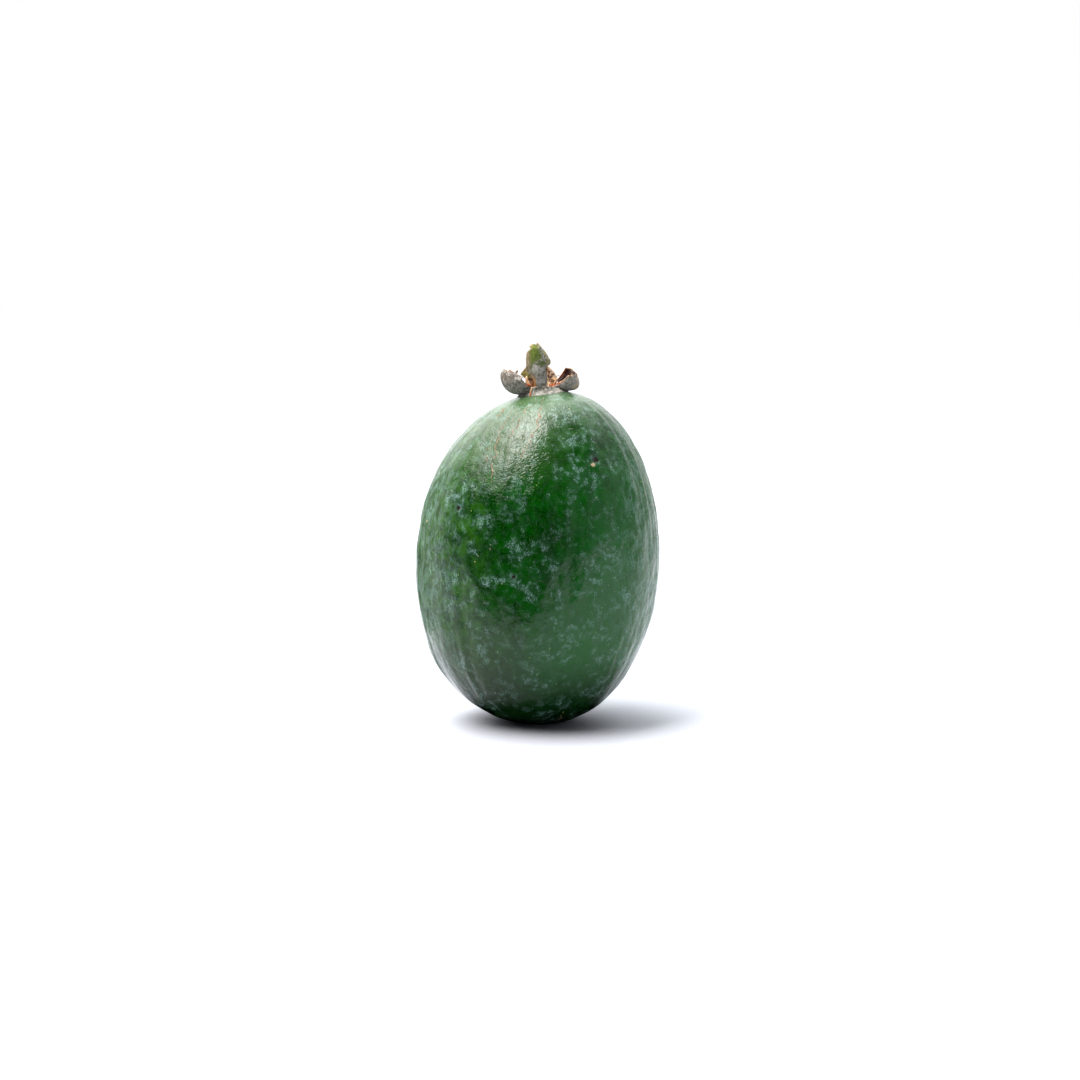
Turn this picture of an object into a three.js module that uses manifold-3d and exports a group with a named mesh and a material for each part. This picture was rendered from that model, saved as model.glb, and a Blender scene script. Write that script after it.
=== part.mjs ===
// A feijoa standing on its stem end, with its dried calyx on top.
// Millimetres, +Z up. The fruit stands on a flat spot at Z = 0, with the origin under its middle.
//
// Two solids: the fruit, which is one body from stem scar to calyx seat, and the calyx, a low collar
// with four dried sepals and the stub of the style, all grown together.

import * as THREE from "three";
import { mergeVertices } from "three/addons/utils/BufferGeometryUtils.js";
import Module from "manifold-3d";

const wasm = await Module();
wasm.setup();

// ---- Driving dimensions ----

const FRUIT_WIDTH = 44.2; // widest, side to side, without its ridges
const FRUIT_DEPTH = 43; // widest, front to back, without its ridges
const FRUIT_LENGTH = 61.7; // between the round ends, before they are flattened
const REST_RADIUS = 5; // flat spot under the fruit
const SEAT_RADIUS = 4.5; // flat seat under the calyx
const BASE_FULLNESS = 2.2; // 2 is an ellipse, more is blunter
const SHOULDER_FULLNESS = 2.09;

const SIDE_LEAN = 0.9; // how far the calyx end lies to +X of the belly
const BASE_LEAN = 0.3; // how far the flat spot's end lies to +X of the belly
const BASE_SAG = 0.62; // how far the lower half is drawn to -X between belly and base
const SHOULDER_SLOPE = { x: 0.12, y: -0.1 }; // rise of the calyx end along X and along Y

const SCAR_RADIUS = 1.5; // where the stalk broke off
const SCAR_DEPTH = 0.7;

const COLLAR_HEIGHT = 1.6;
const COLLAR_RADIUS = 3.5; // at its lip
const CUP_DEPTH = 1; // hollow inside the collar
const SEPAL_THICKNESS = 0.85;
const EDGE_THINNING = 0.25; // share of that which a sepal loses at its edges
const STYLE_RADIUS = 0.45;
const STYLE_HEIGHT = 2.6;
const STYLE_ROOT = 0.4; // how deep its foot is sunk in the cup's floor
const CALYX_GAP = 0.02; // between the calyx and its seat

const FRUIT_SEGMENTS = 72; // round the fruit
const FRUIT_RINGS = 38; // from flat spot to seat
const COLLAR_SEGMENTS = 40;
const SEPAL_STEPS_ALONG = 16;
const SEPAL_STEPS_ACROSS = 10;
const STYLE_SIDES = 10;

// Low ridges that run from end to end. Each wave has a count round the fruit, a height, a turn,
// and a drift: how far it turns between the belly and an end, in radians.
const RIDGE_WAVES = [
  { count: 3, height: 0.2, turn: 0.7, drift: 0.3 },
  { count: 5, height: 0.16, turn: 2.1, drift: -0.5 },
  { count: 8, height: 0.15, turn: 0.4, drift: 0.8 },
  { count: 13, height: 0.1, turn: 1.3, drift: -1.1 },
];

// The sepals are cupped blades. Each has the bearing it grows at, a spine of four control points as
// [distance from the calyx axis, height], its width round the cup, and its outline in rows of [place
// along the spine, left half, right half], the halves as shares of half the width and as seen from
// outside. Then come how far round its edges curl at the root and at the tip, in degrees, how far it
// twists towards its tip, in degrees, how far its tip leans sideways, and how upright its
// cross-sections stand: 0 is square to the spine and 1 is plumb.
const SEPALS = [
  {
    bearing: -98,
    spine: [[2.9, 0.8], [4.3, 2.4], [4.5, 6.4], [3.2, 9.5]],
    width: 5.2,
    outline: [
      [0, 0.5, 0.62],
      [0.28, 0.43, 0.85],
      [0.4, 0.6, 0.76],
      [0.46, 0.96, 0.62],
      [0.53, 0.98, 0.72],
      [0.57, 0.9, 1.05],
      [0.65, 0.78, 1.1],
      [0.76, 0.78, 0.9],
      [0.85, 0.76, 0.62],
      [0.9, 0.32, 0.46],
      [0.95, 0.56, 0.3],
      [1, 0.42, 0.08],
    ],
    curl: [62, 44],
    twist: 0,
    lean: 0.3,
    upright: 0,
  },
  {
    bearing: -8,
    spine: [[2.9, 0.9], [5.3, 0], [7.5, 0.4], [6.8, 2.4]],
    width: 8.4,
    outline: [
      [0, 0.32, 0.5],
      [0.22, 0.72, 1.25],
      [0.4, 0.93, 1.2],
      [0.6, 0.82, 0.94],
      [0.8, 0.54, 0.58],
      [1, 0.28, 0.3],
    ],
    curl: [95, 110],
    twist: 0,
    lean: 0,
    upright: 0.8,
  },
  {
    bearing: 82,
    spine: [[2.8, 0.9], [4.2, 1.6], [4.6, 3.4], [4.3, 5.6]],
    width: 8.8,
    outline: [
      [0, 0.55, 0.55],
      [0.3, 0.68, 0.7],
      [0.5, 0.62, 0.85],
      [0.7, 0.48, 1.15],
      [0.85, 0.28, 1.2],
      [0.95, 0.15, 1.2],
      [1, 0.1, 0.9],
    ],
    curl: [35, 62],
    twist: 0,
    lean: 0,
    upright: 0,
  },
  {
    bearing: 206,
    spine: [[2.8, 1], [5.3, 0], [8.5, 2.2], [6.8, 5.5]],
    width: 6.8,
    outline: [
      [0, 0.7, 0.75],
      [0.3, 0.85, 0.9],
      [0.6, 0.95, 1],
      [0.85, 0.8, 0.9],
      [0.95, 0.6, 0.62],
      [1, 0.35, 0.4],
    ],
    curl: [52, 84],
    twist: 18,
    lean: -0.2,
    upright: 0,
  },
];

// ---- Places worked out from them ----

const halfWidth = FRUIT_WIDTH / 2;
const halfLength = FRUIT_LENGTH / 2;
const depthShare = FRUIT_DEPTH / FRUIT_WIDTH;

// Shares of the half length, measured from the belly: -1 and 1 are the round ends.
const shareAtRadius = (radius, fullness) => (1 - (radius / halfWidth) ** fullness) ** (1 / fullness);
const restShare = shareAtRadius(REST_RADIUS, BASE_FULLNESS);
const seatShare = shareAtRadius(SEAT_RADIUS, SHOULDER_FULLNESS);
const bellyHeight = restShare * halfLength;
const seatHeight = bellyHeight + seatShare * halfLength;

// ---- The fruit ----

function radiusAt(share) {
  const fullness = share < 0 ? BASE_FULLNESS : SHOULDER_FULLNESS;
  return halfWidth * (1 - Math.abs(share) ** fullness) ** (1 / fullness);
}

// Sideways place of the fruit's middle at a height.
function middleAt(share) {
  if (share > 0) return SIDE_LEAN * share ** 2 * (3 - 2 * share);
  return BASE_LEAN * share ** 4 - 4 * BASE_SAG * share ** 2 * (1 - share ** 2);
}

// The shoulders slope more the nearer they are to the calyx.
function riseAt(x, y, share) {
  return share > 0 ? (SHOULDER_SLOPE.x * x + SHOULDER_SLOPE.y * y) * share ** 4 : 0;
}

function ridgeAt(angle, share) {
  return RIDGE_WAVES.reduce(
    (sum, { count, height, turn, drift }) => sum + height * Math.cos(count * angle + turn + drift * share),
    0,
  );
}

function fruitProfile() {
  const scar = [
    [0, 0.5 * SCAR_DEPTH],
    [0.7 * SCAR_RADIUS, 0.6 * SCAR_DEPTH],
    [SCAR_RADIUS, SCAR_DEPTH],
    [1.3 * SCAR_RADIUS, 0.2 * SCAR_DEPTH],
    [1.5 * SCAR_RADIUS, 0],
    [0.75 * REST_RADIUS, 0],
  ];
  const side = [];
  const from = -Math.asin(restShare);
  const to = Math.asin(seatShare);
  for (let ring = 0; ring <= FRUIT_RINGS; ring++) {
    const share = Math.sin(from + ((to - from) * ring) / FRUIT_RINGS);
    side.push([radiusAt(share), bellyHeight + share * halfLength]);
  }
  side[0][1] = 0;
  const seat = [
    [SEAT_RADIUS / 2, seatHeight],
    [0, seatHeight],
  ];
  return [...scar, ...side, ...seat].map(([radius, height]) => new THREE.Vector2(radius, height));
}

function makeFruit() {
  const geometry = new THREE.LatheGeometry(fruitProfile(), FRUIT_SEGMENTS);
  geometry.rotateX(Math.PI / 2);
  const position = geometry.getAttribute("position");
  for (let i = 0; i < position.count; i++) {
    const [x, y, z] = [position.getX(i), position.getY(i), position.getZ(i)];
    const share = (z - bellyHeight) / halfLength;
    const swell = 1 + ridgeAt(Math.atan2(y, x), share) / halfWidth;
    const aside = x * swell;
    const back = y * swell * depthShare;
    position.setXYZ(i, middleAt(share) + aside, back, z + riseAt(aside, back, share));
  }
  geometry.computeVertexNormals();
  const skin = new THREE.MeshStandardMaterial({ color: 0x1f5c1c, roughness: 0.4, metalness: 0 });
  const fruit = new THREE.Mesh(geometry, skin);
  fruit.name = "fruit";
  return fruit;
}

// ---- The calyx ----

function solidFrom(geometry) {
  const bare = geometry.clone();
  bare.deleteAttribute("normal");
  bare.deleteAttribute("uv");
  const merged = mergeVertices(bare, 1e-4);
  return new wasm.Manifold(
    new wasm.Mesh({
      numProp: 3,
      vertProperties: new Float32Array(merged.getAttribute("position").array),
      triVerts: new Uint32Array(merged.index.array),
    }),
  );
}

function geometryFrom(solid) {
  const mesh = solid.getMesh();
  const geometry = new THREE.BufferGeometry();
  geometry.setAttribute("position", new THREE.BufferAttribute(mesh.vertProperties, 3));
  geometry.setIndex(new THREE.BufferAttribute(mesh.triVerts, 1));
  geometry.computeVertexNormals();
  return geometry;
}

function makeCollar() {
  const cupFloor = COLLAR_HEIGHT - CUP_DEPTH;
  const profile = [
    [0, 0],
    [SEAT_RADIUS, 0],
    [0.5 * (SEAT_RADIUS + COLLAR_RADIUS), 0.3 * COLLAR_HEIGHT],
    [1.03 * COLLAR_RADIUS, 0.6 * COLLAR_HEIGHT],
    [COLLAR_RADIUS, 0.9 * COLLAR_HEIGHT],
    [0.93 * COLLAR_RADIUS, COLLAR_HEIGHT],
    [0.82 * COLLAR_RADIUS, 0.95 * COLLAR_HEIGHT],
    [0.7 * COLLAR_RADIUS, 1.1 * cupFloor],
    [0, cupFloor],
  ].map(([radius, height]) => new THREE.Vector2(radius, height));
  return new THREE.LatheGeometry(profile, COLLAR_SEGMENTS).rotateX(Math.PI / 2);
}

// Left and right half of a blade at a place along it, as shares of half its width.
function sepalHalves(outline, along) {
  const reached = THREE.MathUtils.clamp(along, 0, 1);
  const next = Math.max(1, outline.findIndex(([place]) => place >= reached));
  const [from, to] = [outline[next - 1], outline[next]];
  const between = (reached - from[0]) / (to[0] - from[0]);
  return [1, 2].map((side) => THREE.MathUtils.lerp(from[side], to[side], between));
}

// A box bent into a blade: its Y runs along the spine, its X round the cup from edge to edge, and
// its Z from the inner face to the outer one.
function makeSepal({ bearing, spine, width, outline, curl, twist, lean, upright }) {
  const curve = new THREE.CubicBezierCurve(...spine.map(([out, up]) => new THREE.Vector2(out, up)));
  const turn = THREE.MathUtils.degToRad(bearing);
  const plumb = new THREE.Vector2(0, 1);
  const geometry = new THREE.BoxGeometry(2, 1, 1, SEPAL_STEPS_ACROSS, SEPAL_STEPS_ALONG, 1);
  const position = geometry.getAttribute("position");
  for (let i = 0; i < position.count; i++) {
    const across = position.getX(i);
    const along = position.getY(i) + 0.5;
    const [left, right] = sepalHalves(outline, along);
    const mean = (left + right) / 2;
    const curled = THREE.MathUtils.degToRad(THREE.MathUtils.lerp(...curl, along));
    const cupRadius = (0.5 * width * mean) / curled;
    const skin = cupRadius + position.getZ(i) * SEPAL_THICKNESS * (1 - EDGE_THINNING * across ** 2);
    const angle = (across * curled * (across < 0 ? left : right)) / mean;
    const section = new THREE.Vector2(skin * Math.sin(angle), cupRadius - skin * Math.cos(angle));
    section.rotateAround(new THREE.Vector2(0, cupRadius), THREE.MathUtils.degToRad(twist * along));
    const tangent = curve.getTangent(along);
    const inwards = new THREE.Vector2(-tangent.y, tangent.x).lerp(plumb, upright).normalize();
    const place = curve.getPoint(along).addScaledVector(inwards, section.y);
    const aside = section.x + lean * along ** 2;
    position.setXYZ(
      i,
      place.x * Math.cos(turn) - aside * Math.sin(turn),
      place.x * Math.sin(turn) + aside * Math.cos(turn),
      place.y,
    );
  }
  return geometry;
}

function makeStyle() {
  const foot = COLLAR_HEIGHT - CUP_DEPTH - STYLE_ROOT;
  const stub = new THREE.CylinderGeometry(0.6 * STYLE_RADIUS, STYLE_RADIUS, STYLE_HEIGHT, STYLE_SIDES);
  return stub.rotateX(Math.PI / 2).translate(0, 0, foot + STYLE_HEIGHT / 2);
}

function makeCalyx() {
  const pieces = [makeCollar(), makeStyle(), ...SEPALS.map(makeSepal)];
  const whole = pieces.map(solidFrom).reduce((sum, piece) => sum.add(piece));
  const felt = new THREE.MeshStandardMaterial({ color: 0x8a8272, roughness: 0.9, metalness: 0 });
  const calyx = new THREE.Mesh(geometryFrom(whole), felt);
  calyx.name = "calyx";
  calyx.position.z = CALYX_GAP;
  const crown = new THREE.Group();
  crown.add(calyx);
  crown.position.set(middleAt(seatShare), 0, seatHeight);
  const seatNormal = new THREE.Vector3(-riseAt(1, 0, seatShare), -riseAt(0, 1, seatShare), 1);
  crown.quaternion.setFromUnitVectors(new THREE.Vector3(0, 0, 1), seatNormal.normalize());
  return crown;
}

const feijoa = new THREE.Group();
feijoa.add(makeFruit(), makeCalyx());

export default feijoa;
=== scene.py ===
"""A feijoa: waxy, pebbled green skin with russet lines, and a dried, felted calyx on top."""

import math
import random
from typing import NamedTuple

import bpy
import numpy as np
from bpy.props import FloatProperty, FloatVectorProperty, IntProperty, PointerProperty
from mathutils import Matrix, Vector, noise


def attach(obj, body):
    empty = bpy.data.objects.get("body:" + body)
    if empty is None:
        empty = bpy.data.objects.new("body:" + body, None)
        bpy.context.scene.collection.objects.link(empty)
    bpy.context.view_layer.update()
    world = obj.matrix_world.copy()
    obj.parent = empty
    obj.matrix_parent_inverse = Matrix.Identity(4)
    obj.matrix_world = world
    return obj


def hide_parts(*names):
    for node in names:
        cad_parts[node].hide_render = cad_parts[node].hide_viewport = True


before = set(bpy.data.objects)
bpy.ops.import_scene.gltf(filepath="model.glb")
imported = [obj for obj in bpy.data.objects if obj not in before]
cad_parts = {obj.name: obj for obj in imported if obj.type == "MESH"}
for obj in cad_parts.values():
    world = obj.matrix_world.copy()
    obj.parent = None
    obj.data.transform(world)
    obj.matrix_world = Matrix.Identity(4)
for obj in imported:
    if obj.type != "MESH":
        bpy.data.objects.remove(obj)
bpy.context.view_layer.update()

bl_info = {
    "name": "Feijoa",
    "version": (1, 0, 0),
    "blender": (4, 5, 0),
    "location": "3D View > Sidebar > Feijoa",
    "description": "Grows a feijoa with its skin, its dried calyx and a plain studio round it",
    "category": "Add Mesh",
}

MM = 0.001
BODY = "root"
RUSSET_SEED = 7
HAIR_SEED = 11
FULL_TURN = 2 * math.pi

# ---- Where things lie on the fruit ----
# Bearings are in degrees from +X towards +Y, and lengths in millimetres. A share of the half length
# says how high a point lies: 0 at the belly, -1 at the stem end and 1 at the calyx end.

# Low ridges from end to end: how many go round, height, turn, and how far they drift from the belly
# to an end, in radians. The main ones are the solid's own, the fine ones only roughen the skin.
MAIN_RIDGES = ((3, 0.2, 0.7, 0.3), (5, 0.16, 2.1, -0.5), (8, 0.15, 0.4, 0.8), (13, 0.1, 1.3, -1.1))
FINE_RIDGES = ((21, 0.02, 0.9, 1.2), (34, 0.012, 2.4, -1.7))

# Sharp single ridges: bearing, the shares that they run between, height and width.
SINGLE_RIDGES = (
    (-131, -0.9, -0.05, 0.16, 0.7), (-43, -0.95, -0.4, 0.14, 0.7), (-12, -0.5, 0.35, 0.1, 0.5),
    (-20, 0.1, 0.8, 0.09, 0.5), (-32, 0.35, 0.93, 0.09, 0.6), (24, -0.8, 0.1, 0.13, 0.7),
    (61, 0.2, 0.95, 0.12, 0.6), (97, -0.9, -0.2, 0.15, 0.8), (139, 0.1, 0.9, 0.1, 0.6),
    (-168, -0.7, 0.3, 0.12, 0.6),
)

# Lumps all over the skin: height, size and noise offset. Those round the girth are drawn out
# lengthwise and die away towards the ends.
LUMPS = ((0.16, 4.6, 0), (0.06, 1.9, 7))
GIRTH_LUMPS = (0.11, 2.3, 3)
CREASES = (0.03, 1.4, 9)

# Pits: bearing, share, radius, depth.
PITS = (
    (-55.5, 0.634, 0.65, 0.35), (-134, 0.367, 0.45, 0.25), (-101, -0.007, 0.4, 0.12),
    (-51.7, 0.729, 0.24, 0.12), (-36.7, 0.411, 0.26, 0.12), (38, 0.12, 0.4, 0.25),
    (121, 0.52, 0.34, 0.2), (172, -0.31, 0.3, 0.15),
)

# Flat spots where the skin has gone tan or orange: bearing, share, radius.
TAN_SPOTS = (
    (-160.6, 0.255, 0.26), (-112.8, 0.15, 0.12), (-118.9, 0.104, 0.1), (-120.5, 0.068, 0.13),
    (-106.6, -0.051, 0.12), (-72.3, -0.024, 0.11), (-58, 0.61, 0.4), (72, 0.33, 0.24),
    (151, -0.12, 0.2),
)

# Russet lines: bearing and share where each starts and ends, and how broken it is.
RUSSET_LINES = (
    ((-88, 0.964), (-102, 0.66), 0.2), ((-105, 0.925), (-114, 0.77), 0.25),
    ((-126, 0.935), (-117, 0.52), 0.3), ((-139, 0.93), (-137, 0.88), 0.1),
    ((-91.5, 0.9), (-92, 0.84), 0.4), ((-117, 0.9), (-112, 0.7), 0.55),
    ((-96, 0.93), (-104, 0.74), 0.6), ((-128, 0.8), (-124, 0.6), 0.6),
    ((12, 0.95), (20, 0.62), 0.35), ((48, 0.93), (40, 0.76), 0.5), ((88, 0.95), (96, 0.7), 0.3),
    ((103, 0.9), (101, 0.55), 0.5), ((160, 0.94), (150, 0.72), 0.4),
    ((-62, -0.95), (-66, -0.83), 0.5), ((130, -0.93), (124, -0.7), 0.5),
)

# Zones of the skin's colour, from none to full: edges along X, or heights.
FRESH_X = (-17, 1)  # at the floor, and half the height further to +X above it
CHEEK_X = (-6, -20)
CROWN_X, CROWN_Z = (9, -5), (44, 53)
FOOT_X, FOOT_Z = (2, -12), (26, 16)
MOTTLED_X, MOTTLED_Z = (-5, -14), (10, 22)
FLANK_X = (12, 19)  # on both sides
STREAKED_Z = (50, 56)
WORN_TOP, WORN_BASE = (30, 18), (5, 11)
FILM_Z, CALYX_FILM_Z = (52, 58), (56.5, 60.5)
# Painted shade darkens the skin from none at the first height to full at the second.
PAINTED_SHADE_Z = (17, 4)
PUCKERED_Z = (39, 50)
SCAR_EDGE = (2.9, 2.1)  # away from the scar's middle


class Blade(NamedTuple):
    """A sepal, or a torn scrap of one. Left and right are as seen from outside."""

    name: str
    bearing: float
    spine: tuple  # four control points: distance from the calyx axis, and height
    width: float  # round the cup
    outline: tuple  # place along, left half and right half, the halves in shares of half the width
    curl: tuple  # of the edges, at the root and at the tip
    dried: float  # how dark the inner face has gone
    green: float = 0.0  # how much green still shows
    twist: float = 0
    lean: float = 0
    upright: float = 0  # how its cross-sections stand: 0 is square to the spine and 1 is plumb


SEPALS = (
    Blade(
        "sepal_front", -98, ((2.9, 0.8), (4.3, 2.4), (4.5, 6.4), (3.2, 9.5)), 5.2,
        (
            (0, 0.32, 0.62), (0.28, 0.28, 0.85), (0.4, 0.5, 0.76), (0.46, 0.96, 0.62),
            (0.53, 0.98, 0.72), (0.57, 0.9, 1.05), (0.65, 0.78, 1.1), (0.76, 0.78, 0.9),
            (0.85, 0.76, 0.62), (0.9, 0.32, 0.46), (0.95, 0.56, 0.3), (1, 0.42, 0.08),
        ),
        curl=(62, 44), dried=0.5, green=1.0, lean=0.3,
    ),
    Blade(
        "sepal_right", -8, ((2.9, 0.9), (5.3, 0), (7.5, 0.4), (6.8, 2.4)), 8.4,
        (
            (0, 0.32, 0.5), (0.22, 0.72, 1.25), (0.4, 0.93, 1.2), (0.6, 0.82, 0.94),
            (0.8, 0.54, 0.58), (1, 0.28, 0.3),
        ),
        curl=(95, 110), dried=1.0, upright=0.8,
    ),
    Blade(
        "sepal_back", 82, ((2.8, 0.9), (4.2, 1.6), (4.6, 3.4), (4.3, 5.6)), 8.8,
        (
            (0, 0.55, 0.55), (0.3, 0.68, 0.7), (0.5, 0.62, 0.85), (0.7, 0.48, 1.15),
            (0.85, 0.28, 1.2), (0.95, 0.15, 1.2), (1, 0.1, 0.9),
        ),
        curl=(35, 62), dried=0.25, green=0.6,
    ),
    Blade(
        "sepal_left", 206, ((2.8, 1), (5.3, 0), (8.5, 2.2), (6.8, 5.5)), 6.8,
        (
            (0, 0.7, 0.75), (0.3, 0.85, 0.9), (0.6, 0.95, 1), (0.85, 0.8, 0.9),
            (0.95, 0.6, 0.62), (1, 0.35, 0.4),
        ),
        curl=(52, 84), dried=0.5, green=0.25, twist=18, lean=-0.2,
    ),
)

# Torn scraps of dried tissue between the sepals.
SCRAPS = (
    Blade(
        "scrap_left", -142, ((2.8, 1), (3.3, 1.6), (3.5, 2.4), (3.2, 3.7)), 2.2,
        ((0, 0.8, 1), (0.35, 0.7, 0.7), (0.6, 0.35, 0.5), (0.85, 0.3, 0.2), (1, 0.1, 0.12)),
        curl=(30, 20), dried=0.4, twist=12, lean=0.1,
    ),
    Blade(
        "scrap_seam", -118, ((4.72, -0.1), (4.5, 0.4), (4.25, 0.9), (4.0, 1.5)), 0.22,
        ((0, 0.3, 0.3), (0.2, 0.7, 0.9), (0.4, 1, 0.5), (0.6, 0.5, 1), (0.8, 1, 0.6), (1, 0.9, 0.9)),
        curl=(30, 30), dried=0.4, lean=0.2,
    ),
    Blade(
        "scrap_gap", -116, ((2.6, 0.8), (2.8, 1.2), (2.8, 2.1), (2.6, 3.0)), 1.9,
        ((0, 0.9, 1), (0.6, 0.8, 0.9), (1, 0.3, 0.5)),
        curl=(30, 30), dried=1.0,
    ),
    Blade(
        "scrap_right", 34, ((2.3, 0.9), (2.9, 1.4), (3.2, 2), (2.6, 2.8)), 2.6,
        ((0, 0.8, 0.9), (0.5, 0.9, 0.7), (0.8, 0.5, 0.8), (1, 0.2, 0.3)),
        curl=(40, 55), dried=0.4, twist=-14, lean=-0.2,
    ),
)

# Dried stamens: foot, bend and tip in the calyx's own axes, and the radius of the knob at the tip.
STAMENS = (
    ((-1.2, 1.2, 0.9), (-5.6, 1.2, 1.6), (-4.05, 1.5, 4.85), 0.24),
    ((1.2, 1.4, 0.9), (2.2, 2.2, 3.2), (3.6, 2, 2.9), 0.05),
    ((0.4, -0.8, 0.9), (0.6, -1.5, 1.8), (1.3, -1.6, 2.4), 0.12),
    ((-1.3, -0.4, 0.9), (-2.1, -0.4, 1.4), (-2.2, -0.9, 2.1), 0.1),
    ((1.5, -0.5, 0.9), (2.2, -0.6, 1.4), (2.3, -1.2, 2.2), 0.1),
    ((0.2, 1.6, 0.9), (0.7, 1.8, 2.2), (0.5, 2.4, 3), 0.14),
    ((-1, 1.5, 0.9), (-1.1, 2.2, 1.8), (-1.9, 2.2, 2.6), 0.1),
)

# ---- Where things lie in the studio ----
# Corners and half axes are in metres.

# Cards that only show in gloss, as painted dark reflections: the unlit floor in front, the shaded floor round
# the foot and a dim patch beside the left flank.
UNLIT_FLOOR = (
    (-0.9, -0.064), (-0.9, -1.6), (1.2, -1.6), (1.2, -0.95), (0.15, -0.215), (0.048, -0.092),
    (-0.01, -0.068),
)
UNLIT_FLOOR_HEIGHT = 0.15 * MM
CONTACT_OVAL = ((0, 0, 0.2 * MM), (0.018, 0, 0), (0, 0.018, 0))
CONTACT_FADE = (18, 11)  # millimetres from its middle
FLANK_OVAL = ((-0.048, 0.03, 0.031), (0.0145, 0.014, 0), (0, 0, 0.031))
FLANK_SHADE = (0.75, 0.85, 0.75, 1)

FLOOR_COLOURS = ((0.37, 0.38, 0.42, 1), (0.385, 0.395, 0.435, 1))
FLOOR_FADE = (0.25, 0.9)  # metres from the fruit
WHITE, BLACK = (1, 1, 1, 1), (0, 0, 0, 1)

# The softbox's middle, and its two edge directions: towards the camera and aside.
SOFTBOX_MIDDLE, SOFTBOX_NEAR, SOFTBOX_ASIDE = (-0.5, 0, 0.86), (0.68, -0.61, 0.395), (0.525, 0.79, 0.305)
# How far it reaches from its middle, as tangents from none to full.
SOFTBOX_NEAR_EDGES, SOFTBOX_ASIDE_EDGES = ((0.52, 0.46), (-0.5, 0.5)), ((-0.8, -0.1), (0.85, 0.2))
SOFTBOX_AHEAD = (0.1, 0.3)
OVERHEAD_MIDDLE, OVERHEAD_FOCUS = (-0.2, 0.65, 0.73), 3.5
KEY_TINT, OVERHEAD_TINT, WALL_TINT = (1, 0.985, 0.955), (0.97, 0.99, 1), (0.95, 0.98, 1)
UNLIT_WALL, PANEL_WALL = (0.004, 0.005, 0.006, 1), (0.48, 0.53, 0.58, 1)
# Degrees from the camera's side towards +X, and degrees above the horizon.
UNLIT_LEFT, UNLIT_RIGHT, UNLIT_TOP = (-112, -100), (78, 68), (66, 58)
PANEL_LEFT, PANEL_TOP = (34, 37), (35, 31)


# ---- Sizes and colours that a user would change ----


def measure(name, description, millimetres):
    return FloatProperty(
        name=name, description=description, default=millimetres * MM, unit="LENGTH", precision=5
    )


def number(name, description, default):
    return FloatProperty(name=name, description=description, default=default)


def tint(name, description, *rgb):
    return FloatVectorProperty(
        name=name, description=description, default=(*rgb, 1), size=4, min=0, max=1, subtype="COLOR"
    )


class FeijoaBodySettings(bpy.types.PropertyGroup):
    width: measure("Width", "Widest, side to side, without the ridges", 44.2)
    depth: measure("Depth", "Widest, front to back, without the ridges", 43)
    length: measure("Length", "Between the round ends, before they are flattened", 61.7)
    rest_radius: measure("Flat spot", "Radius of the spot that it stands on", 5)
    seat_radius: measure("Calyx seat", "Radius of the flat seat under the calyx", 4.5)
    base_fullness: number("Base fullness", "2 is an ellipse, more is blunter", 2.2)
    shoulder_fullness: number("Shoulder fullness", "2 is an ellipse, more is blunter", 2.09)
    side_lean: measure("Side lean", "How far the calyx end lies to +X of the belly", 0.9)
    base_lean: measure("Base lean", "How far the flat spot's end lies to +X of the belly", 0.3)
    base_sag: measure("Base sag", "How far the lower half is drawn to -X", 0.62)
    slope_x: number("Slope along X", "Rise of the calyx end along X", 0.12)
    slope_y: number("Slope along Y", "Rise of the calyx end along Y", -0.1)
    scar_radius: measure("Scar radius", "Where the stalk broke off", 1.5)
    scar_depth: measure("Scar depth", "How deep the stem scar is", 0.7)
    segments: IntProperty(name="Segments", description="Faces round the fruit", default=380, min=24)
    rings: IntProperty(name="Rings", description="Faces from flat spot to seat", default=224, min=16)
    russet_width: measure("Russet width", "Width of a russet line", 0.28)


class FeijoaSkinSettings(bpy.types.PropertyGroup):
    deep: tint("Deep green", "The skin where it is darkest", 0.0001, 0.022, 0.0002)
    leaf: tint("Leaf green", "The skin where it is lighter", 0.0006, 0.044, 0.0006)
    fresh: tint("Fresh green", "The flank away from the sun", 0.003, 0.088, 0.007)
    olive: tint("Olive", "The sunlit cheek", 0.02, 0.05, 0.01)
    lime: tint("Lime", "Yellow-green mottling of one flank", 0.014, 0.068, 0.001)
    film: tint("Film", "The thin pale film below the calyx", 0.2, 0.33, 0.17)
    bloom: tint("Bloom", "The waxy bloom", 0.26, 0.41, 0.385)
    # Painted shade: the near-black green that darkens the skin towards the floor.
    shade: tint("Shade", "The deep green round the stalk end", 0.0002, 0.008, 0.0003)
    gland: tint("Gland", "Oil glands that show as pale dots", 0.3, 0.42, 0.14)
    tan: tint("Tan", "Healed spots", 0.4, 0.3, 0.19)
    pit: tint("Pit", "The bottom of a pit", 0.014, 0.009, 0.007)
    cork: tint("Cork", "The stem scar", 0.2, 0.13, 0.07)
    russet: tint("Russet", "The fine corky lines", 0.24, 0.075, 0.04)
    bloom_cover: FloatProperty(
        name="Bloom cover", description="How much of the skin the bloom covers",
        default=0.42, min=0, max=1, subtype="FACTOR",
    )


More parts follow.
